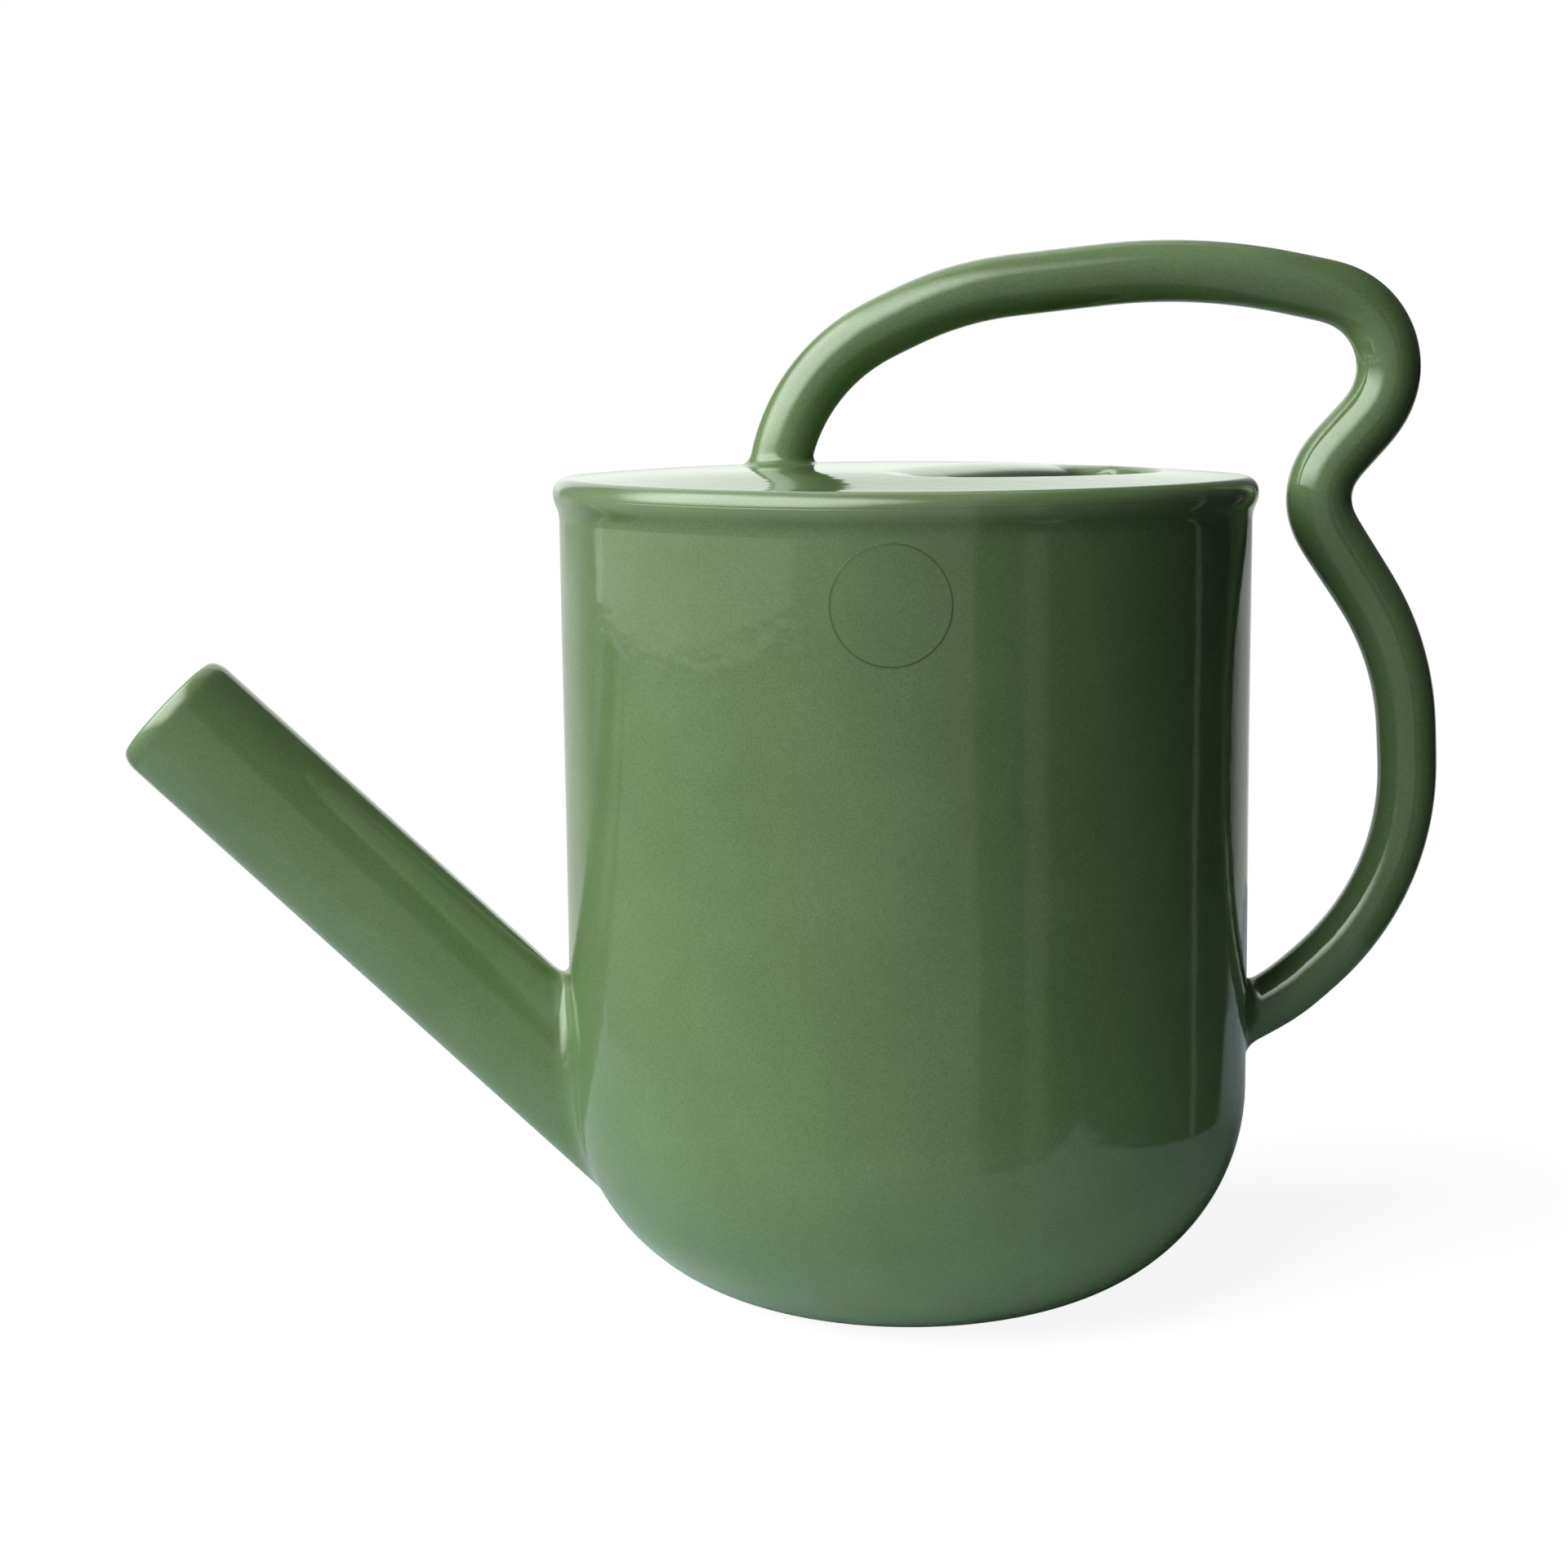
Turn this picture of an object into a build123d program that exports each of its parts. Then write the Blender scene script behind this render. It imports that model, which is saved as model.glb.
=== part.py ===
"""Glazed ceramic watering can: round vessel, domed deck, straight spout and bent bar handle.

Millimetres. The origin is the middle of the foot on the floor and +Z is up. The spout points to -X, the
handle is on the +X side, and both lie in the plane y = 0. The clay pieces are luted to one another:
each seats on its neighbour's surface, and a coil of clay is worked into the corner round each joint.
"""
import os
from math import cos, radians, sin

from build123d import *

# Vessel: a straight wall on a rounded base with a flat foot
wall_radius = 78.3
wall_thickness = 4.0
floor_thickness = 4.0
base_round = 48.0          # outside rounding between the wall and the foot
rim_height = 184.5         # seam between the vessel and the deck
lip_overhang = 1.3         # the lip stands out from the wall
lip_flare = 6.0            # height over which the wall swells out to the lip

# Deck: a shallow dome with a rolled edge, let into the top of the wall
deck_thickness = 5.0
deck_rise = 2.7            # the dome, from its edge to its crown
crown_flat = 3.0           # radius of the level middle of the dome
deck_roll = 3.4            # radius of the rolled edge over the seam
deck_clearance = 0.3       # round the step that drops into the wall

# Filling opening: a half-moon with round ends, set askew, on the handle's side of the deck
fill_band = 22.0           # deck left between the lip and the opening
fill_edge_x = 20.9         # its straight inner side, from the axis
fill_edge_turn = 27.8      # degrees that this side is turned, nearer to the handle at the back
fill_corner = 6.0
fill_edge_round = 2.0

# Spout: a straight tube that leaves the rounded base almost at a tangent
spout_radius = 15.6
spout_wall = 4.5
spout_rise = 43.7          # degrees over the floor
spout_length = 161.7       # from the point nearest to the base rounding's centre to the mouth
spout_sink = 0.3           # depth of the tube's underside inside the base
throat_length = 52.0       # narrow start of the bore, from the same point to clear of the wall
throat_ledge = 1.0         # step from the bore down to the throat
spout_lip_round = 2.0

# Handle: a round bar from the deck, over the filling opening and down to the wall
handle_radius = 7.0
handle_root_x = -28.6
root_depth = 3.0           # start of the bar's centre line, under the deck's crown
tail_depth = 10.0          # end of the centre line, inside the wall's outer face
tail_drop = 128.5          # that end's depth under the rim

# Bends of the handle: distance out from its root, height over the rim, bend radius
rise_bend = (4.0, 26.9, 41.5)
shoulder_bend = (40.9, 44.1, 73.0)
# Bends of the handle: distance out from the wall, height over the rim, bend radius
grip_bend = (-12.3, 49.7, 134.0)
hook_bend = (47.7, 36.9, 17.5)
waist_bend = (12.2, -1.6, 14.0)
swell_bend = (36.2, -38.1, 63.0)
turn_in_bend = (38.7, -92.6, 60.0)
tail_bend = (9.5, -118.1, 40.0)

# Clay coils in the corners round the joints
spout_coil_radius = 5.0
handle_deck_coil_radius = 3.0
handle_wall_coil_radius = 4.5

# Label: a round clear film on the wall, under the lip
label_radius = 12.5
label_thickness = 0.15
label_drop = 20.6          # its middle, under the rim
label_turn = 4.6           # degrees round from the front, towards the spout

closing_line = 90.0        # degrees round from the handle to where turned faces close, clear of the joints
inner_radius = wall_radius - wall_thickness
foot_radius = wall_radius - base_round
lip_radius = wall_radius + lip_overhang
dome_radius = lip_radius - deck_roll
dome_edge = rim_height + deck_roll
crown_height = dome_edge + deck_rise


def across(x, z):
    """A point of the plane y = 0."""
    return (x, 0, z)


def turned(profile):
    """Solid of a closed profile, drawn in the plane y = 0 and turned round the axis."""
    return Rot(0, 0, closing_line) * revolve(make_face(profile), Axis.Z)


def base_curve(round_radius, radius, floor):
    """Quarter arc from the flat floor up to the wall."""
    edge = radius - round_radius
    slant = round_radius * sin(radians(45))
    middle = across(edge + slant, floor + round_radius - slant)
    return ThreePointArc(across(edge, floor), middle, across(radius, floor + round_radius))


def dome_curves(radius, edge, crown):
    """Shallow arc from the edge of a dome to its crown, and the level line on from there to the axis."""
    halfway = across((radius + crown_flat) / 2, crown - (crown - edge) / 4)
    arc = ThreePointArc(across(radius, edge), halfway, across(crown_flat, crown))
    return [arc, Line(arc @ 1, across(0, crown))]


def outside_curves():
    """Curves of the can's outside: those of the vessel from the foot up, then those of the deck."""
    base = base_curve(base_round, wall_radius, 0)
    flare_middle = across(wall_radius + lip_overhang / 2, rim_height - lip_flare / 2)
    hollow = TangentArc([across(wall_radius, rim_height - lip_flare), flare_middle], tangent=(0, 0, 1))
    lip = TangentArc([flare_middle, across(lip_radius, rim_height)], tangent=hollow % 1)
    roll = TangentArc([across(lip_radius, rim_height), across(dome_radius, dome_edge)], tangent=(0, 0, 1))
    foot = Line(across(0, 0), base @ 0)
    wall = Line(base @ 1, hollow @ 0)
    return [foot, base, wall, hollow, lip], [roll, *dome_curves(dome_radius, dome_edge, crown_height)]


def vessel_solid(outer_curves, throat):
    """Open cup, with the spout's throat through its wall."""
    base = base_curve(base_round - wall_thickness, inner_radius, floor_thickness)
    rim = Line(across(lip_radius, rim_height), across(inner_radius, rim_height))
    inner_curves = [
        rim,
        Line(rim @ 1, base @ 1),
        base,
        Line(base @ 0, across(0, floor_thickness)),
        Line(across(0, floor_thickness), across(0, 0)),
    ]
    return turned([*outer_curves, *inner_curves]) - throat


def filling_moon():
    """Plan of the filling opening: the part of a disc past its inner side, with round ends."""
    past_side = Pos(fill_edge_x + lip_radius, 0) * Rectangle(2 * lip_radius, 2 * lip_radius)
    moon = Circle(lip_radius - fill_band) & Rot(0, 0, -fill_edge_turn) * past_side
    return fillet(moon.vertices(), fill_corner)


def deck_solid(outer_curves):
    """Dome that rests on the rim, with a step inside the wall and the filling opening through it."""
    step_radius = inner_radius - deck_clearance
    underside = dome_curves(step_radius, dome_edge - deck_thickness, crown_height - deck_thickness)
    step = Line(across(step_radius, dome_edge - deck_thickness), across(step_radius, rim_height))
    seat = Line(step @ 1, across(lip_radius, rim_height))
    middle = Line(across(0, crown_height), across(0, crown_height - deck_thickness))
    dome = turned([*outer_curves, middle, *underside, step, seat])
    opened = dome - extrude(filling_moon(), crown_height)
    edges = new_edges(dome, combined=opened).filter_by(Axis.Z, reverse=True)
    return fillet(edges, fill_edge_round)


def spout_plane():
    """Plane across the spout at its root, facing the mouth."""
    rise = radians(spout_rise)
    offset = base_round - spout_sink - spout_radius
    root = across(-foot_radius - offset * sin(rise), base_round - offset * cos(rise))
    return Plane(origin=root, x_dir=(0, 1, 0), z_dir=across(-cos(rise), sin(rise)))


def spout_solid(tube, hollow, body):
    """Tube cut to the body's outside, with its hollow and a round lip at the mouth."""
    trimmed = tube - hollow - body
    mouth_edges = trimmed.edges().filter_by(GeomType.CIRCLE).sort_by(Axis.X)[:2]
    return fillet(mouth_edges, spout_lip_round)


def handle_path():
    """Centre line of the bar: straight stretches joined by bends, in the plane y = 0."""
    by_root = [rise_bend, shoulder_bend]
    by_wall = [grip_bend, hook_bend, waist_bend, swell_bend, turn_in_bend, tail_bend]
    corners = [across(handle_root_x + out, rim_height + up) for out, up, _ in by_root]
    corners += [across(wall_radius + out, rim_height + up) for out, up, _ in by_wall]
    start = across(handle_root_x, crown_height - root_depth)
    end = across(wall_radius - tail_depth, rim_height - tail_drop)
    return FilletPolyline(start, *corners, end, radius=[bend[2] for bend in by_root + by_wall])


def luting_coil(body, bar, radius, lowest, highest):
    """Clay in the corner round a bar that stands on the body, for the joint between two heights."""
    joined = body + bar
    corner = new_edges(body, bar, combined=joined).filter_by_position(Axis.Z, lowest, highest)
    return fillet(corner, radius) - joined


def label_solid():
    """Round piece of film that follows the wall."""
    turn = radians(label_turn)
    middle = Vector(0, 0, rim_height - label_drop)
    facing = Plane(origin=middle, x_dir=(0, 0, 1), z_dir=(-sin(turn), -cos(turn), 0))
    punch = extrude(facing * Circle(label_radius), lip_radius)
    ring = Circle(wall_radius + label_thickness) - Circle(wall_radius)
    film = Pos(0, 0, middle.Z - label_radius) * extrude(ring, 2 * label_radius)
    return film & punch


vessel_curves, deck_curves = outside_curves()
middle_line = Line(across(0, crown_height), across(0, 0))
envelope = turned([*vessel_curves, *deck_curves, middle_line])

across_spout = spout_plane()
bore_radius = spout_radius - spout_wall
spout_tube = extrude(across_spout * Circle(spout_radius), spout_length)
throat = extrude(across_spout * Circle(bore_radius - throat_ledge), spout_length)
spout_bore = extrude(across_spout.offset(throat_length) * Circle(bore_radius), spout_length - throat_length)

bar_path = handle_path()
handle_bar = sweep(Plane(origin=bar_path @ 0, z_dir=bar_path % 0) * Circle(handle_radius), path=bar_path)

pieces = {
    "vessel": vessel_solid(vessel_curves, throat),
    "deck": deck_solid(deck_curves),
    "spout": spout_solid(spout_tube, throat + spout_bore, envelope),
    "handle": handle_bar - envelope,
    "spout_coil": luting_coil(envelope, spout_tube, spout_coil_radius, 0, rim_height),
    "handle_deck_coil": luting_coil(envelope, handle_bar, handle_deck_coil_radius, dome_edge, crown_height),
    "handle_wall_coil": luting_coil(envelope, handle_bar, handle_wall_coil_radius, 0, rim_height),
    "label": label_solid(),
}

os.makedirs("parts", exist_ok=True)
for name, piece in pieces.items():
    export_step(piece, f"parts/{name}.step")
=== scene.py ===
import bpy
import numpy as np
from mathutils import Matrix, Vector


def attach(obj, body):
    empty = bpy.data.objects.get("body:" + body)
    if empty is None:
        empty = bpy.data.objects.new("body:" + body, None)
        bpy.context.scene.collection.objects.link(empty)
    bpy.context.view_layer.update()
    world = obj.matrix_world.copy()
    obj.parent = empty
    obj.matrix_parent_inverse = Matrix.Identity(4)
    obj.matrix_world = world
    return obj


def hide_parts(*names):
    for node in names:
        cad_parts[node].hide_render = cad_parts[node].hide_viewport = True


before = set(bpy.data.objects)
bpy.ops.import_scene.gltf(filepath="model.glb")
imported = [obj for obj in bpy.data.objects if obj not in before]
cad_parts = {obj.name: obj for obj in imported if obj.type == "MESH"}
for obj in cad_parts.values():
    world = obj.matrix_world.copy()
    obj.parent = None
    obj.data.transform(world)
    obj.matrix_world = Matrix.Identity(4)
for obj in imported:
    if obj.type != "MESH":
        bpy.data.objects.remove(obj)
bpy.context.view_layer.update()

MM = 0.001
# Vessel and deck, in millimetres like all sizes of the can
WALL, THICK, BASE_ROUND, RIM = 78.3, 4.0, 48.0, 184.5
LIP_OUT, LIP_FLARE = 1.27, 6.0
DECK_THICK, DECK_RISE, DECK_ROLL, DECK_GAP = 5.0, 2.7, 3.4, 0.3
SEAM_LAP, SEAM_INSET, PALE_EDGE = 0.4, 0.25, 2.5
INNER, FOOT, LIP = WALL - THICK, WALL - BASE_ROUND, WALL + LIP_OUT
DOME, DOME_EDGE = LIP - DECK_ROLL, RIM + DECK_ROLL
CROWN = DOME_EDGE + DECK_RISE
DOME_BALL = (DOME ** 2 + DECK_RISE ** 2) / (2 * DECK_RISE)
# Filling opening: its plan; the rounding of its lower edge; the width and depth of its upper rounding, first
# on the arc and then on the inner side
FILL_RADIUS, FILL_SHIFT, FILL_EDGE, FILL_CORNER, FILL_TURN = 54.5, 3.0, 22.25, 6.0, np.radians(27.8)
FILL_LIP, FILL_WIDE, FILL_DEEP = 1.0, (2.5, 12.0), (2.5, 3.9)
# Handwork: depth of the wall's hollows and the height over which they set in; slope of the top; depth, turn
# from the front and spread of the front edge's sag; where sag and settling start, and over what distance
HOLLOW, HOLLOW_START, TOP_SLOPE = 0.03, 12.0, 0.0085
SAG, SAG_TURN, SAG_SPREAD = 1.5, 0.2, 1.13
SAG_ZONE, SETTLE_ZONE = (46.0, 34.0), (140.0, 40.0)
# Spout, and the passage to it through the vessel's wall
SPOUT, BORE, SPOUT_LENGTH, SPOUT_SINK, MOUTH_ROUND = 15.6, 11.1, 161.7, 0.3, 4.4
SPOUT_RISE = np.radians(43.7)
PASSAGE_GAP, PASSAGE_LENGTH = 0.4, 55.0
# Handle: corners of its centre line and the bend at each, then its radius along the length
BAR_START, BAR_END = (-28.6, 187.6), (68.3, 56.0)
BAR_CORNERS = [(-24.6, 211.4), (12.3, 228.6), (66.0, 234.2), (126.0, 221.4), (90.5, 182.9), (114.5, 146.4),
               (117.0, 91.9), (87.8, 66.4)]
BAR_BENDS = [41.5, 73.0, 134.0, 17.5, 14.0, 63.0, 60.0, 40.0]
BAR_RUN = [0.0, 0.1, 0.4, 0.46, 0.56, 0.66, 0.82, 1.0]
BAR_RADIUS = [6.95, 6.9, 6.9, 7.05, 7.5, 6.95, 6.5, 6.7]
# Worked clay in the corners round the joints, and its thin skirt, sunk in the can's outside
SPOUT_COIL, DECK_COIL, WALL_COIL = 6.5, 3.0, 4.5
SKIRT, SKIRT_DEPTH = 2.0, 0.15
# Search for where a tube leaves the can: distance along it, number of stations, and step for slopes
SPOUT_REACH, BORE_REACH, ROOT_REACH, TAIL_REACH = 80.0, 70.0, 30.0, 45.0
STATIONS, BORE_STATIONS, PROBE = 800, 700, 0.05
# Unglazed foot: faces lower than this, in metres
FOOT_LEVEL = 0.00004
# Label
LABEL, LABEL_FILM, LABEL_DROP, LABEL_TURN = 12.5, 0.15, 20.6, np.radians(4.6)
# Points round each piece
VESSEL_COLUMNS, DECK_COLUMNS, SPOUT_COLUMNS, BAR_COLUMNS, LABEL_COLUMNS = 288, 384, 128, 72, 96
# Set, in metres. Lamp: name, place, size, power, and the height on the axis that it faces
KEY_LAMP = ("key_lamp", (-1.28, -0.68, 1.2), (2.3, 1.9), 49.5, 0.12)
# Cards in the gloss: name, place, size and brightness, then for some the height on the axis that they face,
# if not upright, and the shares of width and height over which they fade
CARDS = [
    ("low_wall", (-1.75, -0.35, 0.046), (3.6, 0.125), 0.8, None, (0.12, 0.12)),
    ("left_post", (-1.3, 0.78, -0.24), (0.05, 0.5), 0.6),
    ("left_gap", (-1.33, 0.74, 0.085), (0.16, 0.08), 0.7),
    ("near_post", (0.94, -1.17, 0.2), (0.26, 1.6), 0.28),
    ("right_post", (1.45, 0.39, 0.2), (0.1, 1.6), 0.25),
    ("back_rail", (0.0, 0.5, 0.0), (1.5, 0.4), 0.5),
    ("back_sheet", (-0.31, 2.5, 1.25), (2.4, 2.7), 1.0, None, (0.2, 0.2)),
    ("top_sheet", (-0.5, 1.3, 2.2), (3.0, 2.2), 0.9, 0.12, (0.3, 0.3)),
    ("key_glow", (-1.28, -0.68, 1.43), (4.6, 3.4), 8.0, 0.12, (0.35, 0.35)),
]
# Floor: half its width. Table top: its outline and its height
FLOOR_HALF = 4.0
TABLE = [(-0.32, -0.19), (0.2, -0.19), (0.2, 0.05), (0.3, 0.16), (0.3, 0.5), (-0.06, 0.5), (-0.32, 0.16)]
TABLE_HEIGHT = -0.0003
# Room in the gloss: brightness on the left, at the back and all round, and its share in the soft light
ROOM_LEFT, ROOM_BACK, ROOM_DARK, ROOM_SOFT = 0.6, 0.12, 0.025, 0.085
# Camera: focal length and sensor width in millimetres, place in metres, tilt down and roll in radians
LENS, SENSOR, EYE, TILT, ROLL = 62.69, 36.0, (-0.02799, -0.624, 0.2047), 0.1394, 0.0111


def arc(centre, radius, start, stop, steps):
    """Circular arc in a half plane: centre plus radius times (cos, sin) of an angle, in even steps."""
    a = np.radians(np.linspace(start, stop, steps))
    return np.stack([centre[0] + radius * np.cos(a), centre[1] + radius * np.sin(a)], 1)


def line(start, stop, steps):
    """Evenly spaced points from start to stop."""
    return np.linspace(np.asarray(start, float), np.asarray(stop, float), steps)


def unit(v):
    """Vectors over their lengths."""
    return v / np.linalg.norm(v, axis=-1, keepdims=True)


def ease(value, start, width):
    """Smooth step: 3 k^2 - 2 k^3 of the share k of a width past a start, with k held between 0 and 1."""
    k = np.clip((value - start) / width, 0, 1)
    return k ** 2 * (3 - 2 * k)


def dents(p):
    """Depth of the hand-made wall's hollows: a sum of slow waves round the axis and up it, never under 0."""
    turn, z = np.arctan2(p[..., 1], p[..., 0]), p[..., 2] / 100
    waves = np.sin(3 * turn + 2.1 * z) + np.sin(5 * turn - 3.7 * z + 1.1) + np.sin(2 * turn + 6.3 * z + 0.4)
    return HOLLOW * (3 + waves)


def settle(p):
    """Drop of the hand-set top: a slope to the handle's side and a sag at the front edge, a bell curve round
    the axis, both eased to nothing down the wall."""
    edge = ease(np.hypot(p[..., 0], p[..., 1]), *SAG_ZONE)
    bell = np.exp(-((np.arctan2(p[..., 0], -p[..., 1]) + SAG_TURN) / SAG_SPREAD) ** 2)
    return ease(p[..., 2], *SETTLE_ZONE) * (TOP_SLOPE * p[..., 0] + SAG * bell * edge)


def body_gap(p):
    """Distance of points outside the can: the greater of that to the dome and that to the wall or base."""
    r = np.hypot(p[..., 0], p[..., 1])
    dome = np.hypot(r, p[..., 2] + settle(p) - CROWN + DOME_BALL) - DOME_BALL
    side = np.where(p[..., 2] > BASE_ROUND, r - WALL, np.hypot(r - FOOT, p[..., 2] - BASE_ROUND) - BASE_ROUND)
    return np.maximum(dome, side + dents(p))


def body_normal(p):
    """Direction in which the distance outside the can grows, by central differences."""
    return unit(np.stack([body_gap(p + s) - body_gap(p - s) for s in PROBE * np.eye(3)], -1))


def joint_flare(tube, length, reach, steps):
    """Worked clay from the can's outside out on to a tube.

    Each line along the tube, one for each angle, is followed out to where it leaves the can. A parabola
    starts a length past that point on the line, is drawn to that point, and ends the same length away on the
    can, across the seam. A skirt runs on from there, just under the can's outside.
    """
    stations = np.linspace(0, reach, STATIONS)
    gaps = body_gap(tube(stations[:, None]))
    first = np.argmax(gaps > 0, 0)
    near, far = (np.take_along_axis(gaps, first[None] - back, 0)[0] for back in (1, 0))
    hit = stations[first - 1] + (stations[1] - stations[0]) * near / (near - far)
    seam = tube(hit[None])[0]
    up = body_normal(seam)
    around = unit(np.roll(seam, -1, 0) - np.roll(seam, 1, 0))
    out = unit(np.cross(around, up))
    middle = seam.mean(0)
    out = out * np.sign(np.sum(out * (seam - middle), -1, keepdims=True))
    top = tube((hit + length)[None])[0]
    foot = seam + length * out
    foot = foot - body_gap(foot)[:, None] * body_normal(foot)
    under = foot + SKIRT * out
    under = under - (body_gap(under)[:, None] + SKIRT_DEPTH) * body_normal(under)
    t = np.linspace(0, 1, steps)[:, None, None]
    rows = (1 - t) ** 2 * foot + 2 * t * (1 - t) * seam + t ** 2 * top
    return np.concatenate([under[None], rows]), hit + length


def build(name, rows, poles=None, values=None):
    """Mesh of a grid of points that closes round each row, and from last row to first or at two poles. The
    values are the glaze's: above 0 where it is pale, from thinner glaze on edges and from painted light on
    the deck's opening, below 0 where it is deep."""
    count, columns = rows.shape[:2]
    index = np.arange(count * columns).reshape(count, columns)
    lower = index if poles is None else index[:-1]
    upper = np.roll(index, -1, 0) if poles is None else index[1:]
    quads = np.stack([lower, np.roll(lower, -1, 1), np.roll(upper, -1, 1), upper], -1).reshape(-1, 4)
    points, caps = rows.reshape(-1, 3), np.empty((0, 3), int)
    if poles is not None:
        points = np.concatenate([points, poles])
        first, last = np.full(columns, len(points) - 2), np.full(columns, len(points) - 1)
        caps = np.concatenate([np.stack([first, np.roll(index[0], -1), index[0]], -1),
                               np.stack([last, index[-1], np.roll(index[-1], -1)], -1)])
    corners = points[quads]
    cut = np.cross(corners[:, 2] - corners[:, 0], corners[:, 3] - corners[:, 1])
    if np.sum(corners.mean(1) * cut) < 0:
        quads, caps = quads[:, ::-1], caps[:, ::-1]
    mesh = bpy.data.meshes.new(name)
    mesh.from_pydata((points * MM).tolist(), [], quads.tolist() + caps.tolist())
    mesh.polygons.foreach_set("use_smooth", np.ones(len(mesh.polygons), bool))
    glaze = mesh.attributes.new("glaze", "FLOAT", "POINT")
    amount = np.zeros(len(points))
    if values is not None:
        amount[:count * columns] = np.broadcast_to(values, (count, columns)).ravel()
    glaze.data.foreach_set("value", amount.astype(np.float32))
    piece = bpy.data.objects.new(name, mesh)
    bpy.context.scene.collection.objects.link(piece)
    return piece


def turned_round(profile, columns):
    """Surface of revolution: each (r, z) of the profile carried round the axis."""
    turn = np.linspace(0, 2 * np.pi, columns, endpoint=False)
    r, z = profile[:, :1], profile[:, 1:]
    return np.stack([r * np.cos(turn), r * np.sin(turn), z + 0 * turn], -1)


def make_vessel():
    """Cup: a profile from the inside floor up to the rim, over the lip and down to the foot, turned round the
    axis, with the wall's hollows taken off and the top let down."""
    half = LIP_FLARE / 2
    flare = (half ** 2 + (LIP_OUT / 2) ** 2) / LIP_OUT
    sweep = np.degrees(np.arcsin(half / flare))
    inside = np.concatenate([line((8, THICK), (FOOT - 1, THICK), 5),
                             arc((FOOT, BASE_ROUND), BASE_ROUND - THICK, -90, 0, 28),
                             line((INNER, BASE_ROUND + 4), (INNER, RIM - 1), 30),
                             [(INNER + 0.5, RIM - SEAM_LAP), (LIP - 1, RIM - SEAM_LAP),
                              (LIP - SEAM_INSET, RIM + SEAM_LAP)]])
    outside = np.concatenate([arc((LIP - flare, RIM), flare, 0, -sweep, 14),
                              arc((WALL + flare, RIM - LIP_FLARE), flare, 180 - sweep, 180, 14)[1:],
                              line((WALL, RIM - LIP_FLARE - 2), (WALL, BASE_ROUND + 2), 64),
                              arc((FOOT, BASE_ROUND), BASE_ROUND, 0, -90, 60),
                              line((FOOT - 0.5, 0), (6, 0), 5)])
    rows = turned_round(np.concatenate([inside, outside]), VESSEL_COLUMNS)
    wall = np.zeros(len(rows))
    height = outside[:, 1]
    wall[len(inside):] = np.clip((RIM - height) / LIP_FLARE, 0, 1) * np.clip(height / HOLLOW_START, 0, 1)
    shrink = dents(rows) * wall[:, None]
    rows[..., :2] -= rows[..., :2] / np.hypot(rows[..., :1], rows[..., 1:2]) * shrink[..., None]
    rows[..., 2] -= settle(rows)
    pale_glaze = np.zeros(len(rows))
    pale_glaze[len(inside):] = np.exp(-((height - RIM) / PALE_EDGE) ** 2)
    return build("vessel_form", rows, np.array([[0, 0, THICK], [0, 0, 0.0]]), pale_glaze[:, None])


def spout_line():
    """Root point of the spout's axis, its direction, and the two directions across it."""
    offset = BASE_ROUND - SPOUT_SINK - SPOUT
    root = np.array([-FOOT - offset * np.sin(SPOUT_RISE), 0, BASE_ROUND - offset * np.cos(SPOUT_RISE)])
    along = np.array([-np.cos(SPOUT_RISE), 0, np.sin(SPOUT_RISE)])
    return root, along, np.array([np.sin(SPOUT_RISE), 0, np.cos(SPOUT_RISE)]), np.array([0, 1.0, 0])


def cut_passage(vessel):
    """Takes the spout's passage out of the cup's wall with a plain cylinder."""
    root, along, across, side = spout_line()
    turn = np.linspace(0, 2 * np.pi, 64, endpoint=False)[:, None]
    ring = (BORE + PASSAGE_GAP) * (np.cos(turn) * across + np.sin(turn) * side)
    ends = np.array([0, PASSAGE_LENGTH])[:, None]
    cutter = build("passage", root + ends[..., None] * along + ring, root + ends * along)
    step = vessel.modifiers.new("passage", "BOOLEAN")
    step.operation, step.object, step.solver = "DIFFERENCE", cutter, "EXACT"
    opened = bpy.data.meshes.new_from_object(vessel.evaluated_get(bpy.context.evaluated_depsgraph_get()))
    vessel.modifiers.clear()
    vessel.data = opened
    bpy.data.objects.remove(cutter)


def half_moon(columns):
    """Plan of the filling opening, evenly spaced: an arc, a round end, the straight inner side and the other
    end, all turned and set off from the axis."""
    x = FILL_EDGE + FILL_CORNER
    y = np.sqrt((FILL_RADIUS - FILL_CORNER) ** 2 - x ** 2)
    swing = np.degrees(np.arctan2(y, x))
    curve = np.concatenate([arc((0, 0), FILL_RADIUS, -swing, swing, 400),
                            arc((x, y), FILL_CORNER, swing, 180, 120)[1:],
                            line((FILL_EDGE, y), (FILL_EDGE, -y), 240)[1:-1],
                            arc((x, -y), FILL_CORNER, 180, 360 - swing, 120)])
    run = np.concatenate([[0], np.cumsum(np.hypot(*np.diff(curve, axis=0).T))])
    even = np.linspace(0, run[-1], columns, endpoint=False)
    out, side = np.interp(even, run, curve[:, 0]), np.interp(even, run, curve[:, 1])
    return np.stack([FILL_SHIFT + out * np.cos(FILL_TURN) + side * np.sin(FILL_TURN),
                     side * np.cos(FILL_TURN) - out * np.sin(FILL_TURN)], 1)


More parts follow.
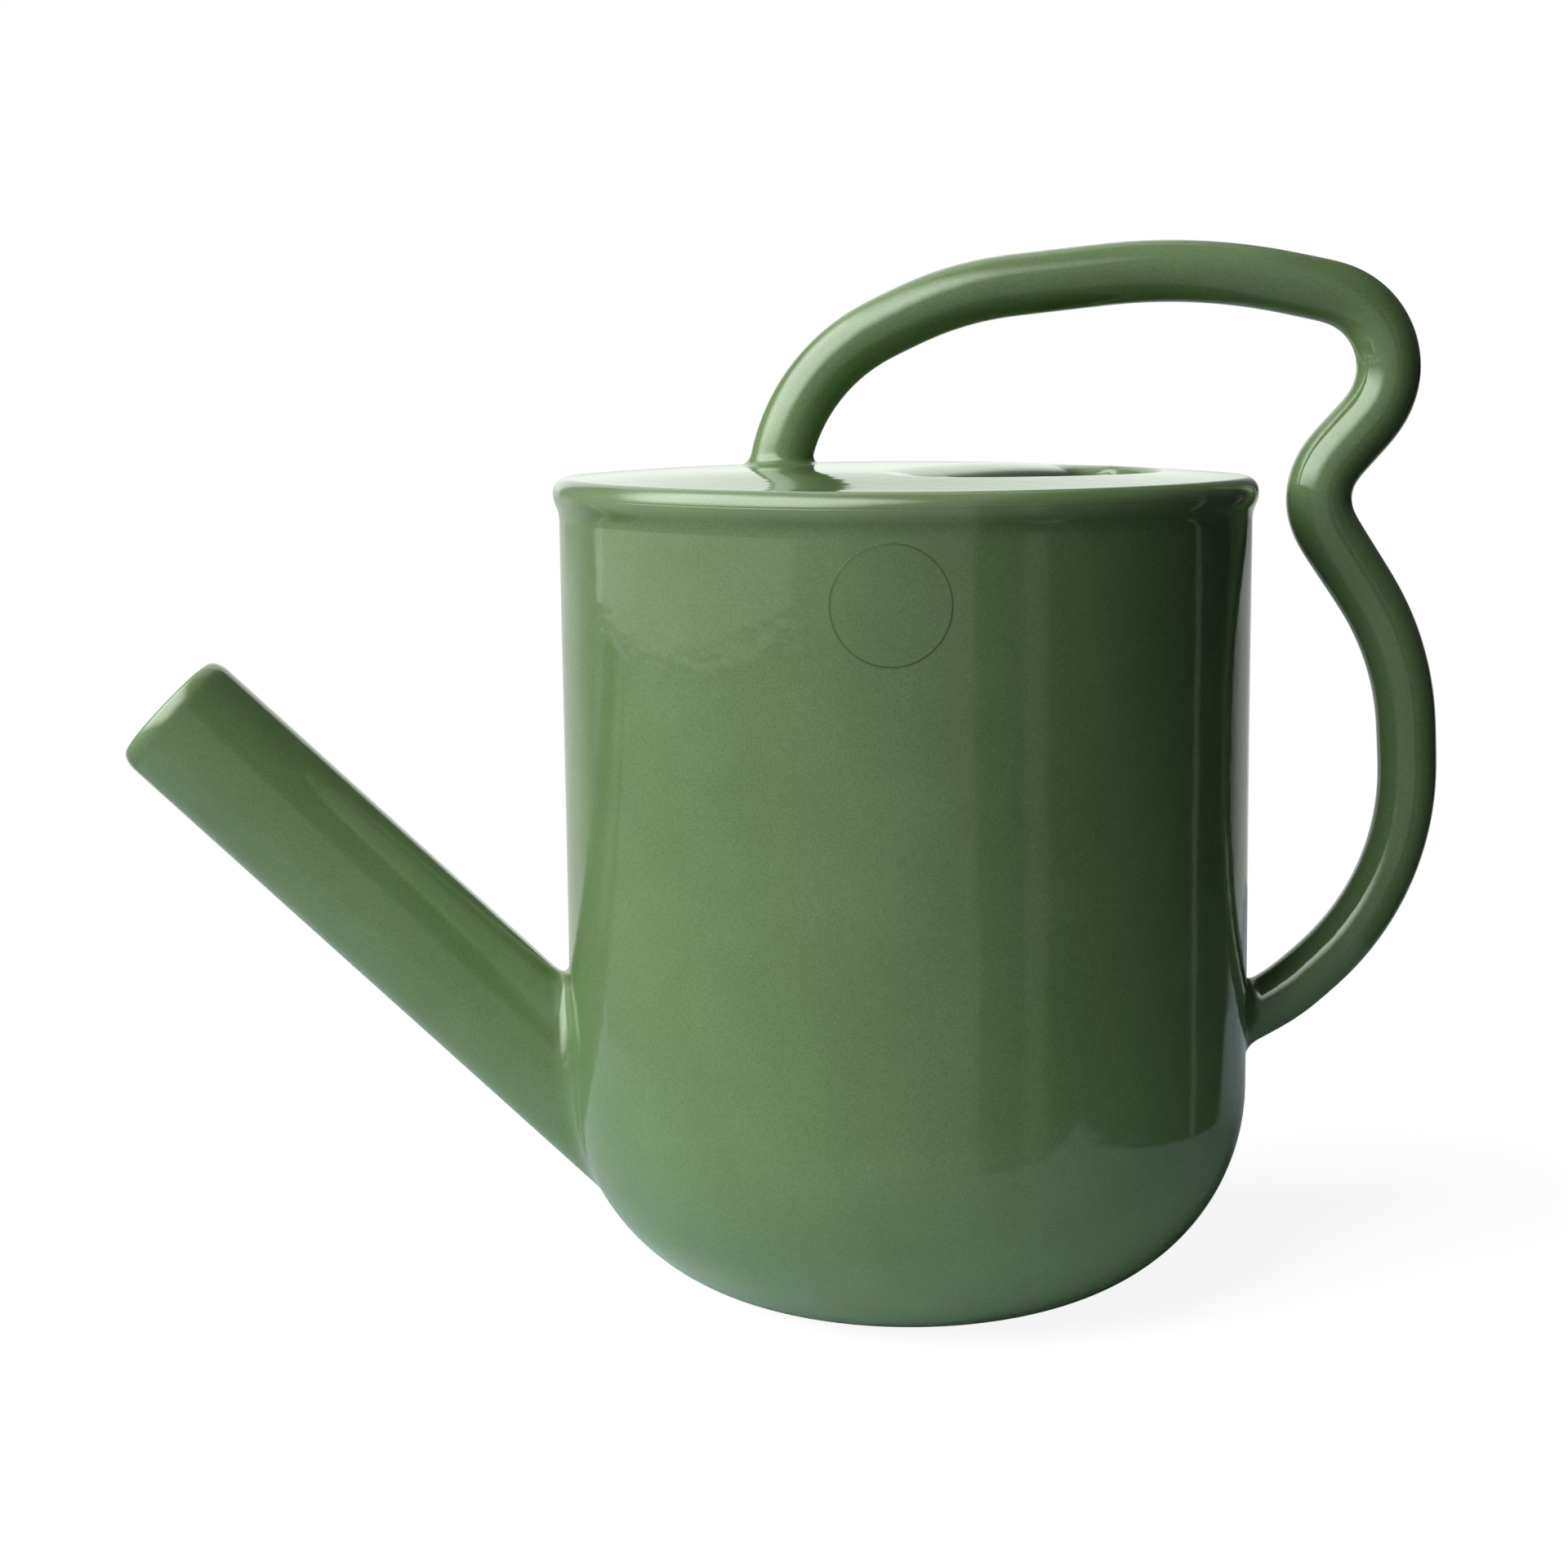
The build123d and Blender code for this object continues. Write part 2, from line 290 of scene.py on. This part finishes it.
def make_deck():
    """Domed ring: a section that runs round the cut edge, over the dome and the rolled edge, and back below.

    The columns start on the half-moon opening and run out along rays from its middle to the rim circle. The
    cut edge is two quarter ellipses, the upper one wider on the straight inner side, above a small one.
    """
    hole = half_moon(DECK_COLUMNS)
    tangent = unit(np.roll(hole, -1, 0) - np.roll(hole, 1, 0))
    normal = np.stack([tangent[:, 1], -tangent[:, 0]], 1)
    middle = hole.mean(0)
    ray = unit(hole - middle)
    reach = ray @ middle

    def ring(r):
        """Points where the rays meet circles round the axis."""
        r = np.asarray(r)[:, None]
        return middle + (np.sqrt(reach ** 2 + r ** 2 - middle @ middle) - reach)[..., None] * ray

    def dome(p, drop):
        """Points on a sphere cap through the crown, lowered."""
        ball = np.sqrt(DOME_BALL ** 2 - np.sum(p ** 2, -1)) - DOME_BALL
        return np.concatenate([p, (CROWN - drop + ball)[..., None]], -1)

    a = np.radians(np.linspace(-90, 90, 48))[:, None]
    inner = np.clip(normal @ np.array([-np.cos(FILL_TURN), np.sin(FILL_TURN)]), 0, 1)
    wide, deep = (np.where(a > 0, arc_side + (inner_side - arc_side) * inner, FILL_LIP)
                  for arc_side, inner_side in (FILL_WIDE, FILL_DEEP))
    edge = dome(hole + (wide * (1 - np.cos(a)))[..., None] * normal,
                np.where(a > 0, deep, DECK_THICK - deep) - deep * np.sin(a))
    start, under = (hole + wide[i][:, None] * normal for i in (-1, 0))
    k = np.linspace(0, 1, 40)[1:, None, None]
    over = dome((1 - k) * start + k * ring([DOME])[0], 0)
    roll = arc((DOME, RIM), DECK_ROLL, 90, 0, 18)[1:]
    step = INNER - DECK_GAP
    seat = [(LIP - SEAM_INSET, RIM - SEAM_LAP), (step, RIM - SEAM_LAP / 2), (step, DOME_EDGE - DECK_THICK)]
    tail = np.concatenate([roll, seat])
    heights = np.broadcast_to(tail[:, None, 1:], (len(tail), len(hole), 1))
    turn = np.concatenate([ring(tail[:, 0]), heights], -1)
    k = np.linspace(1, 0, 24)[1:-1, None, None]
    below = dome((1 - k) * under + k * ring([step])[0], DECK_THICK)
    rows = np.concatenate([edge, over, turn, below])
    rows[..., 2] -= settle(rows)
    # Pale glaze: thinner on the rolled edge and on the cut edge's rounding. Across the opening's cut edge it
    # is also widened and strengthened as painted light, which lifts the shade inside the opening.
    pale_glaze = np.zeros(rows.shape[:2])
    pale_glaze[:len(a)] = 0.8 * np.cos(a)
    flat = len(edge) + len(over)
    pale_glaze[flat:flat + len(roll)] = np.linspace(0, 1, len(roll))[:, None]
    return build("deck_form", rows, None, pale_glaze)


def make_spout():
    """Tube: the worked clay at its root, a straight outside, a round lip, the bore, and a hidden close at the
    root. The bore ends where it comes out of the vessel's wall."""
    root, along, across, side = spout_line()
    turn = np.linspace(0, 2 * np.pi, SPOUT_COLUMNS, endpoint=False)
    spoke = np.cos(turn)[:, None] * across + np.sin(turn)[:, None] * side

    def tube(s, radius=SPOUT):
        """Points a distance along the axis and a radius out from it."""
        s = np.broadcast_to(s, np.broadcast_shapes(np.shape(s), (1, len(turn))))
        return root + s[..., None] * along + radius * spoke

    flare, start = joint_flare(tube, SPOUT_COIL, SPOUT_REACH, 26)
    lip = (SPOUT - BORE) / 2
    k = np.linspace(0, 1, 80)[1:, None]
    outer = tube((1 - k) * start + k * (SPOUT_LENGTH - MOUTH_ROUND))
    a = np.radians(np.linspace(90, -90, 32))[1:, None, None]
    drop = np.where(a > 0, MOUTH_ROUND, lip) * (1 - np.cos(a))
    mouth = root + (SPOUT_LENGTH - drop) * along + (BORE + lip + lip * np.sin(a)) * spoke
    inside = np.linspace(0, BORE_REACH, BORE_STATIONS)
    p = tube(inside[:, None], BORE)
    cavity = np.hypot(np.hypot(p[..., 0], p[..., 1]) - FOOT, p[..., 2] - BASE_ROUND) - BASE_ROUND + THICK
    wall = np.hypot(p[..., 0], p[..., 1]) - INNER
    clear = np.where(p[..., 2] > BASE_ROUND, wall, cavity) > 0
    end = inside[np.argmax(clear, 0)]
    k = np.linspace(0, 1, 40)[1:, None]
    bore = tube((1 - k) * (SPOUT_LENGTH - lip) + k * end, BORE)
    rows = np.concatenate([flare, outer, mouth, bore])
    pale_glaze = np.zeros(len(rows))
    plain = len(flare) + len(outer)
    pale_glaze[plain:plain + len(mouth)] = np.sin(np.linspace(0, np.pi, len(mouth))) ** 2
    pale_glaze[:len(flare)] = -np.sin(np.linspace(0, np.pi, len(flare)))
    return build("spout_form", rows, None, pale_glaze[:, None])


def bar_line():
    """Centre line of the handle: straight runs joined by an arc at each corner, spaced evenly, then smoothed
    by a bell-shaped running mean."""
    stops = np.array([BAR_START, *BAR_CORNERS, BAR_END])
    into, out = unit(stops[1:-1] - stops[:-2]), unit(stops[2:] - stops[1:-1])
    bend = np.array(BAR_BENDS)[:, None]
    angle = np.arccos(np.sum(into * out, -1))[:, None]
    enter = stops[1:-1] - into * bend * np.tan(angle / 2)
    centre = stops[1:-1] + unit(out - into) * bend / np.cos(angle / 2)
    leave = stops[1:-1] + out * bend * np.tan(angle / 2)
    k = np.linspace(0, 1, 60)[None, :, None]
    swing = angle[:, :, None]
    spokes = (np.sin((1 - k) * swing) * (enter - centre)[:, None]
              + np.sin(k * swing) * (leave - centre)[:, None])
    arcs = (centre[:, None] + spokes / np.sin(swing)).reshape(-1, 2)
    points = np.concatenate([stops[:1], arcs, stops[-1:]])
    run = np.concatenate([[0], np.cumsum(np.hypot(*np.diff(points, axis=0).T))])
    even = np.linspace(0, run[-1], 1200)
    path = np.stack([np.interp(even, run, points[:, 0]), np.interp(even, run, points[:, 1])], 1)
    reach = 24
    before = 2 * path[0] - path[reach:0:-1]
    after = 2 * path[-1] - path[-2:-reach - 2:-1]
    weight = np.exp(-0.5 * (np.arange(-reach, reach + 1) / (reach / 3)) ** 2)
    weight /= weight.sum()
    padded = np.concatenate([before, path, after])
    return np.stack([np.convolve(padded[:, i], weight, "valid") for i in (0, 1)], 1)


def make_handle():
    """Round bar along its centre line, its radius eased by a running mean along the length, with worked clay
    at both ends. Its poles lie inside the can."""
    path = bar_line()
    run = np.concatenate([[0], np.cumsum(np.hypot(*np.diff(path, axis=0).T))])
    heading = unit(np.gradient(path, axis=0))
    turn = np.linspace(0, 2 * np.pi, BAR_COLUMNS, endpoint=False)
    radius = np.interp(run / run[-1], BAR_RUN, BAR_RADIUS)
    reach = 60
    window = np.ones(2 * reach + 1) / (2 * reach + 1)
    radius = np.convolve(np.pad(radius, reach, "edge"), window, "valid")

    def tube(s, back=False):
        """Points of the bar's skin at distances along its centre line, from either end."""
        s = np.broadcast_to(s, np.broadcast_shapes(np.shape(s), (1, len(turn))))
        s = run[-1] - s if back else s
        x, z, tx, tz, r = (np.interp(s, run, v) for v in (*path.T, *heading.T, radius))
        return np.stack([x - tz * r * np.cos(turn), r * np.sin(turn), z + tx * r * np.cos(turn)], -1)

    root, begin = joint_flare(tube, DECK_COIL, ROOT_REACH, 18)
    tail, stop = joint_flare(lambda s: tube(s, True), WALL_COIL, TAIL_REACH, 22)
    k = np.linspace(0, 1, 420)[1:-1, None]
    rows = np.concatenate([root, tube((1 - k) * begin + k * (run[-1] - stop)), tail[::-1]])
    poles = np.array([[path[0, 0], 0, path[0, 1] + 0.5], [path[-1, 0] + 6, 0, path[-1, 1] + 4]])
    worked = np.zeros(len(rows))
    worked[:len(root)] = -np.sin(np.linspace(0, np.pi, len(root)))
    worked[-len(tail):] = -np.sin(np.linspace(0, np.pi, len(tail)))
    return build("handle_form", rows, poles, worked[:, None])


def make_label():
    """Thin round film on the wall: a section from the middle out over the edge and back, wrapped on the
    cylinder."""
    turn = np.linspace(0, 2 * np.pi, LABEL_COLUMNS, endpoint=False)
    out = np.concatenate([np.linspace(0.5, LABEL - 0.4, 14),
                          [LABEL - 0.3, LABEL - 0.06, LABEL, LABEL, LABEL - 0.06],
                          np.linspace(LABEL - 0.5, 0.5, 8)])
    lift = np.concatenate([np.full(16, LABEL_FILM), [LABEL_FILM - 0.05, 0.02, -0.1], np.full(8, -0.1)])
    wide, high = out[:, None] * np.cos(turn), out[:, None] * np.sin(turn)
    angle = -np.pi / 2 - LABEL_TURN + wide / WALL
    flat = np.stack([WALL * np.cos(angle), WALL * np.sin(angle), RIM - LABEL_DROP + high], -1)
    radius = WALL + lift[:, None] - dents(flat)
    rows = np.stack([radius * np.cos(angle), radius * np.sin(angle), RIM - LABEL_DROP + high], -1)
    ends = rows[[0, -1]].mean(1)
    rim = np.zeros(len(rows))
    rim[15:19] = 1
    return build("label_form", rows, ends, rim[:, None])


def nodes_of(owner):
    """Clears a material's or a world's nodes, and gives a short way to add one with links and settings."""
    owner.use_nodes = True
    tree = owner.node_tree
    tree.nodes.clear()

    def add(kind, links=None, **settings):
        node = tree.nodes.new(kind)
        for key, value in settings.items():
            setattr(node, key, value)
        for key, value in (links or {}).items():
            if isinstance(value, bpy.types.NodeSocket):
                tree.links.new(value, node.inputs[key])
            else:
                node.inputs[key].default_value = value
        return node
    return add


def shader(name):
    """New material, and the short way to add nodes to it."""
    material = bpy.data.materials.new(name)
    return material, nodes_of(material)


def ramp(add, factor, stops):
    """Colour ramp over a factor; stops are (place, colour)."""
    node = add("ShaderNodeValToRGB", {"Fac": factor})
    while len(node.color_ramp.elements) < len(stops):
        node.color_ramp.elements.new(0.5)
    for element, (place, colour) in zip(node.color_ramp.elements, stops):
        element.position, element.color = place, (*colour, 1)
    return node.outputs["Color"]


def green_glaze():
    """Glossy sage glaze: slow blotches, fine speckle, pale edges where the glaze runs thinner, with the same
    pale colour painted as light on the filling opening's shaded inner face, deep corners, a few pinholes.
    """
    material, add = shader("green_glaze")
    place = add("ShaderNodeTexCoord").outputs["Object"]
    blotch = add("ShaderNodeTexNoise", {"Vector": place, "Scale": 38.0, "Detail": 3.0, "Roughness": 0.55})
    colour = ramp(add, blotch.outputs["Fac"], [(0.3, (0.148, 0.238, 0.098)), (0.7, (0.172, 0.270, 0.120))])
    speck = add("ShaderNodeTexNoise", {"Vector": place, "Scale": 2400.0, "Detail": 2.0})
    grain = ramp(add, speck.outputs["Fac"], [(0.3, (0.84, 0.85, 0.83)), (0.7, (1.14, 1.13, 1.12))])
    colour = add("ShaderNodeMix", {"Factor": 1.0, 6: colour, 7: grain}, data_type="RGBA",
                 blend_type="MULTIPLY")
    amount = add("ShaderNodeAttribute", attribute_name="glaze").outputs["Fac"]
    # Pale glaze where the glaze runs thinner on edges; on the deck's opening the same pale colour is painted
    # light in shade.
    pale_glaze = add("ShaderNodeMapRange", {"Value": amount, "From Min": 0.2, "From Max": 1.0, "To Max": 0.45})
    colour = add("ShaderNodeMix", {"Factor": pale_glaze.outputs[0], 6: colour.outputs[2], 7: (0.27, 0.36, 0.2, 1)},
                 data_type="RGBA")
    deep = add("ShaderNodeMapRange", {"Value": amount, "From Min": 0.0, "From Max": -1.0, "To Max": 0.3})
    colour = add("ShaderNodeMix", {"Factor": deep.outputs[0], 6: colour.outputs[2], 7: (0.09, 0.16, 0.06, 1)},
                 data_type="RGBA")
    holes = add("ShaderNodeTexVoronoi", {"Vector": place, "Scale": 42.0})
    rare = add("ShaderNodeSeparateColor", {"Color": holes.outputs["Color"]})
    size = add("ShaderNodeMapRange", {"Value": rare.outputs[0], "From Min": 0.72, "From Max": 1.0,
                                      "To Max": 0.022})
    pit = add("ShaderNodeMath", {0: size.outputs[0], 1: holes.outputs["Distance"]}, operation="GREATER_THAN")
    colour = add("ShaderNodeMix", {"Factor": pit.outputs[0], 6: colour.outputs[2],
                                   7: (0.03, 0.045, 0.022, 1)}, data_type="RGBA")
    peel = add("ShaderNodeTexNoise", {"Vector": place, "Scale": 260.0, "Detail": 2.0, "Roughness": 0.4})
    slow = add("ShaderNodeTexNoise", {"Vector": place, "Scale": 45.0, "Detail": 1.0})
    height = add("ShaderNodeMath", {0: slow.outputs["Fac"], 1: 1.3, 2: peel.outputs["Fac"]},
                 operation="MULTIPLY_ADD")
    bump = add("ShaderNodeBump", {"Strength": 0.22, "Distance": 0.00022, "Height": height.outputs[0]})
    sheen = add("ShaderNodeMapRange", {"Value": blotch.outputs["Fac"], "To Min": 0.05, "To Max": 0.09})
    surface = add("ShaderNodeBsdfPrincipled", {"Base Color": colour.outputs[2], "Roughness": sheen.outputs[0],
                                               "IOR": 1.5, "Normal": bump.outputs[0]})
    add("ShaderNodeOutputMaterial", {"Surface": surface.outputs[0]})
    return material


def bare_clay():
    """Unglazed buff clay on the foot: matt, with a coarse grain."""
    material, add = shader("bare_clay")
    place = add("ShaderNodeTexCoord").outputs["Object"]
    grain = add("ShaderNodeTexNoise", {"Vector": place, "Scale": 700.0, "Detail": 4.0, "Roughness": 0.65})
    colour = ramp(add, grain.outputs["Fac"], [(0.3, (0.46, 0.39, 0.3)), (0.7, (0.62, 0.55, 0.45))])
    bump = add("ShaderNodeBump", {"Strength": 0.5, "Distance": 0.0002, "Height": grain.outputs["Fac"]})
    surface = add("ShaderNodeBsdfPrincipled", {"Base Color": colour, "Roughness": 0.85,
                                               "Normal": bump.outputs[0]})
    add("ShaderNodeOutputMaterial", {"Surface": surface.outputs[0]})
    return material


def clear_film():
    """Clear film: almost see-through, with a faint haze, and a cut edge that shows as a dark line."""
    material, add = shader("clear_film")
    place = add("ShaderNodeTexCoord").outputs["Object"]
    haze = add("ShaderNodeTexNoise", {"Vector": place, "Scale": 90.0, "Detail": 2.0})
    edge = add("ShaderNodeAttribute", attribute_name="glaze").outputs["Fac"]
    rough = add("ShaderNodeMapRange", {"Value": haze.outputs["Fac"], "To Min": 0.08, "To Max": 0.16})
    colour = add("ShaderNodeMix", {"Factor": edge, 6: (0.3, 0.4, 0.25, 1), 7: (0.03, 0.05, 0.022, 1)},
                 data_type="RGBA")
    body = add("ShaderNodeBsdfPrincipled", {"Base Color": colour.outputs[2], "Roughness": rough.outputs[0]})
    clear = add("ShaderNodeBsdfTransparent")
    faint = add("ShaderNodeMapRange", {"Value": haze.outputs["Fac"], "To Min": 0.03, "To Max": 0.08})
    cover = add("ShaderNodeMath", {0: edge, 1: 0.6, 2: faint.outputs[0]}, operation="MULTIPLY_ADD")
    mixed = add("ShaderNodeMixShader", {0: cover.outputs[0], 1: clear.outputs[0], 2: body.outputs[0]})
    add("ShaderNodeOutputMaterial", {"Surface": mixed.outputs[0]})
    return material


def sheet(name, corners, material, seen):
    """Flat sheet of the set, with the kinds of ray that see it."""
    mesh = bpy.data.meshes.new(name)
    mesh.from_pydata(corners, [], [range(len(corners))])
    mesh.materials.append(material)
    thing = bpy.data.objects.new(name, mesh)
    bpy.context.scene.collection.objects.link(thing)
    for kind in ("camera", "diffuse", "glossy", "transmission", "shadow"):
        setattr(thing, "visible_" + kind, kind in seen)
    return mesh


def card(name, middle, size, strength, aim=None, soft=(0.22, 0.22)):
    """Glowing card that faces the can, seen only in its gloss; it fades out over a share of each side. It
    stands upright, or is tipped to face a height on the axis."""
    material, add = shader(name)
    place = add("ShaderNodeSeparateXYZ", {0: add("ShaderNodeTexCoord").outputs["UV"]})
    fades = [add("ShaderNodeMath", {0: place.outputs[i], 1: 0.5}, operation="PINGPONG") for i in (0, 1)]
    wide, high = [add("ShaderNodeMapRange", {"Value": fade.outputs[0], "From Max": share},
                      interpolation_type="SMOOTHSTEP") for fade, share in zip(fades, soft)]
    level = add("ShaderNodeMath", {0: wide.outputs[0], 1: high.outputs[0]}, operation="MULTIPLY")
    level = add("ShaderNodeMath", {0: level.outputs[0], 1: strength}, operation="MULTIPLY")
    glow = add("ShaderNodeEmission", {"Color": (0.93, 1, 0.91, 1), "Strength": level.outputs[0]})
    both = add("ShaderNodeAddShader", {0: glow.outputs[0], 1: add("ShaderNodeBsdfTransparent").outputs[0]})
    add("ShaderNodeOutputMaterial", {"Surface": both.outputs[0]})
    middle = np.array(middle, float)
    facing = middle - (0, 0, middle[2] if aim is None else aim)
    wide = unit(np.cross([0, 0, 1.0], facing)) * size[0] / 2
    high = unit(np.cross(facing, wide)) * size[1] / 2
    corners = [middle - wide - high, middle + wide - high, middle + wide + high, middle - wide + high]
    mesh = sheet(name, [tuple(c) for c in corners], material, ("glossy",))
    mesh.uv_layers.new().data.foreach_set("uv", [0.0, 0.0, 1.0, 0.0, 1.0, 1.0, 0.0, 1.0])


def floor():
    """Pale floor: matt white with the can's shadow, which turns into the white backdrop further out. In the
    can's gloss, and for light thrown up at it, a table top that ends in front of it and to the right."""
    material, add = shader("floor")
    pale = add("ShaderNodeBsdfDiffuse", {"Color": (0.42, 0.42, 0.42, 1)})
    glow = add("ShaderNodeEmission", {"Strength": 0.9})
    both = add("ShaderNodeAddShader", {0: pale.outputs[0], 1: glow.outputs[0]})
    out = add("ShaderNodeVectorMath", {0: add("ShaderNodeTexCoord").outputs["Object"]}, operation="LENGTH")
    fade = add("ShaderNodeMapRange", {"Value": out.outputs["Value"], "From Min": 0.22, "From Max": 0.5},
               interpolation_type="SMOOTHSTEP")
    white = add("ShaderNodeEmission", {"Strength": 1.0})
    seen = add("ShaderNodeMixShader", {0: fade.outputs[0], 1: both.outputs[0], 2: white.outputs[0]})
    add("ShaderNodeOutputMaterial", {"Surface": seen.outputs[0]})
    corners = [(x * FLOOR_HALF, y * FLOOR_HALF, 0) for x, y in ((-1, -1), (1, -1), (1, 1), (-1, 1))]
    sheet("floor", corners, material, ("camera", "transmission"))
    top, add = shader("table_top")
    matt = add("ShaderNodeBsdfDiffuse", {"Color": (0.71, 0.84, 0.88, 1)})
    add("ShaderNodeOutputMaterial", {"Surface": matt.outputs[0]})
    sheet("table_top", [(x, y, TABLE_HEIGHT) for x, y in TABLE], top, ("diffuse", "glossy"))


def studio():
    """White backdrop for the camera. In the can's gloss, a room that is pale behind and to the left and dark
    in front and to the right; for soft light, a dim room that is lighter on the same sides."""
    world = bpy.data.worlds.new("studio")
    bpy.context.scene.world = world
    add = nodes_of(world)
    path = add("ShaderNodeLightPath")
    heading = add("ShaderNodeSeparateXYZ", {0: add("ShaderNodeTexCoord").outputs["Generated"]})

    def zone(axis, start, stop, low=0.0, high=1.0):
        """Brightness that goes smoothly from low to high between two values of one part of the heading."""
        limits = {"From Min": start, "From Max": stop, "To Min": low, "To Max": high}
        return add("ShaderNodeMapRange", {"Value": heading.outputs[axis], **limits},
                   interpolation_type="SMOOTHSTEP")

    left = zone(0, 0.37, 0.3, high=ROOM_LEFT)
    back = zone(1, 0.2, 0.7, high=ROOM_BACK)
    above = zone(2, 0.0, 0.1)
    back = add("ShaderNodeMath", {0: back.outputs[0], 1: above.outputs[0]}, operation="MULTIPLY")
    front = zone(1, 0.8, 0.2, low=0.45)
    left = add("ShaderNodeMath", {0: left.outputs[0], 1: front.outputs[0]}, operation="MULTIPLY")
    both = add("ShaderNodeMath", {0: left.outputs[0], 1: back.outputs[0]}, operation="MAXIMUM")
    room = add("ShaderNodeMath", {0: both.outputs[0], 1: ROOM_DARK})
    gloss = add("ShaderNodeBackground", {"Strength": room.outputs[0]})
    soft = add("ShaderNodeMath", {0: room.outputs[0], 1: ROOM_SOFT}, operation="MULTIPLY")
    dim = add("ShaderNodeBackground", {"Strength": soft.outputs[0]})
    white = add("ShaderNodeBackground", {"Color": (1, 1, 1, 1)})
    inner = add("ShaderNodeMixShader", {0: path.outputs["Is Glossy Ray"], 1: dim.outputs[0],
                                        2: gloss.outputs[0]})
    seen = add("ShaderNodeMath", {0: path.outputs["Is Camera Ray"], 1: path.outputs["Is Transmission Ray"]},
               operation="MAXIMUM")
    outer = add("ShaderNodeMixShader", {0: seen.outputs[0], 1: inner.outputs[0], 2: white.outputs[0]})
    add("ShaderNodeOutputWorld", {"Surface": outer.outputs[0]})


def lamp(name, place, size, watts, aim):
    """Soft lamp, an oblong that faces a height on the axis."""
    light = bpy.data.lights.new(name, "AREA")
    light.shape, light.size, light.size_y, light.energy = "RECTANGLE", *size, watts
    thing = bpy.data.objects.new(name, light)
    bpy.context.scene.collection.objects.link(thing)
    facing = (Vector((0, 0, aim)) - Vector(place)).to_track_quat("-Z", "Y")
    thing.matrix_world = Matrix.Translation(place) @ facing.to_matrix().to_4x4()
    thing.visible_camera = thing.visible_glossy = False


glaze = green_glaze()
vessel = make_vessel()
cut_passage(vessel)
pieces = [
    (vessel, ["vessel"]),
    (make_deck(), ["deck"]),
    (make_spout(), ["spout", "spout_coil"]),
    (make_handle(), ["handle", "handle_deck_coil", "handle_wall_coil"]),
]
for piece, nodes in pieces:
    piece.data.materials.append(glaze)
    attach(piece, "root")
    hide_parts(*nodes)
vessel.data.materials.append(bare_clay())
centres = np.empty(3 * len(vessel.data.polygons))
vessel.data.polygons.foreach_get("center", centres)
on_floor = centres[2::3] < FOOT_LEVEL
vessel.data.polygons.foreach_set("material_index", on_floor.astype(np.int32))
label = make_label()
label.data.materials.append(clear_film())
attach(label, "root")
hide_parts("label")

floor()
studio()
lamp(*KEY_LAMP)
for settings in CARDS:
    card(*settings)

camera = bpy.data.cameras.new("camera")
camera.lens, camera.sensor_width = LENS, SENSOR
eye = bpy.data.objects.new("camera", camera)
bpy.context.scene.collection.objects.link(eye)
eye.matrix_world = (Matrix.Translation(EYE) @ Matrix.Rotation(np.pi / 2 - TILT, 4, "X")
                    @ Matrix.Rotation(-ROLL, 4, "Z"))
bpy.context.scene.camera = eye
bpy.context.scene.view_settings.view_transform = "Standard"
